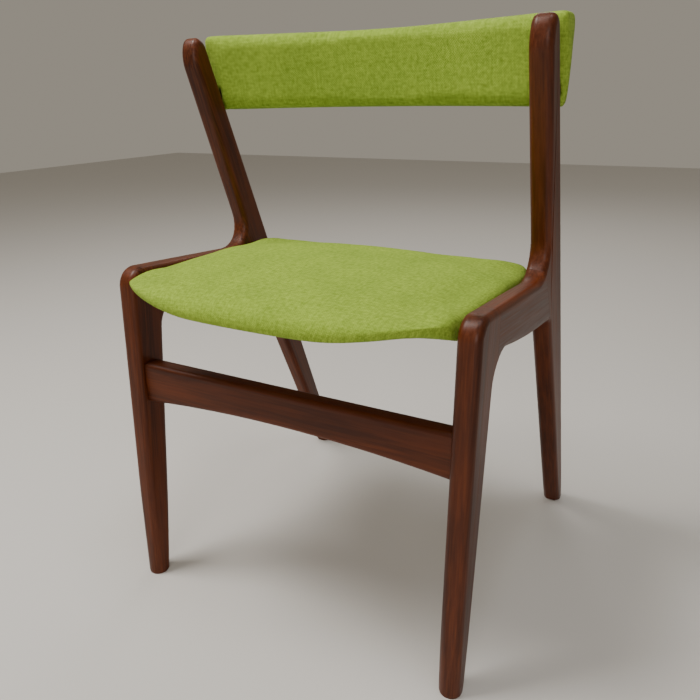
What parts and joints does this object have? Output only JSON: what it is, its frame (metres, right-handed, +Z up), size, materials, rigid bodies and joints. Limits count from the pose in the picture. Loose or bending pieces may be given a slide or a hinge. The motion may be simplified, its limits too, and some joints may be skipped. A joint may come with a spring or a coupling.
{
  "type": "upholstered dining chair",
  "caption": "Teak dining chair with flat side frames, raked one-piece rear legs and posts, a front stretcher, a padded seat and a curved padded backrest.",
  "frame": {"origin": "on the floor under the middle of the chair's overall width and depth", "axes": "+Z up, the sitter faces -Y, +X is the right side as seen by someone facing the chair"},
  "size_m": [0.508, 0.5462, 0.751],
  "materials": {
    "teak": "oiled",
    "beech": "raw",
    "plywood": "raw",
    "wool_cloth": "plain weave",
    "screw_steel": "zinc plated"
  },
  "bodies": {
    "root": {"backrest_back_panel": "wool_cloth", "backrest_block_left": "teak", "backrest_block_right": "teak", "backrest_pad": "wool_cloth", "backrest_screw_left_1": "screw_steel", "backrest_screw_left_2": "screw_steel", "backrest_screw_right_1": "screw_steel", "backrest_screw_right_2": "screw_steel", "backrest_shell": "plywood", "corner_block_left": "beech", "corner_block_right": "beech", "front_leg_left": "teak", "front_leg_right": "teak", "front_rail_dowel_left_1": "beech", "front_rail_dowel_left_2": "beech", "front_rail_dowel_right_1": "beech", "front_rail_dowel_right_2": "beech", "front_seat_rail": "teak", "front_seat_screw_left": "screw_steel", "front_seat_screw_right": "screw_steel", "front_stretcher": "teak", "knob_dowel_left_1": "beech", "knob_dowel_left_2": "beech", "knob_dowel_right_1": "beech", "knob_dowel_right_2": "beech", "post_dowel_left_1": "beech", "post_dowel_left_2": "beech", "post_dowel_right_1": "beech", "post_dowel_right_2": "beech", "rear_leg_and_post_left": "teak", "rear_leg_and_post_right": "teak", "rear_rail_dowel_left_1": "beech", "rear_rail_dowel_left_2": "beech", "rear_rail_dowel_right_1": "beech", "rear_rail_dowel_right_2": "beech", "rear_seat_rail": "teak", "rear_seat_screw_left": "screw_steel", "rear_seat_screw_right": "screw_steel", "seat_board": "plywood", "seat_pad": "wool_cloth", "side_rail_left": "teak", "side_rail_right": "teak"}
  },
  "joints": []
}
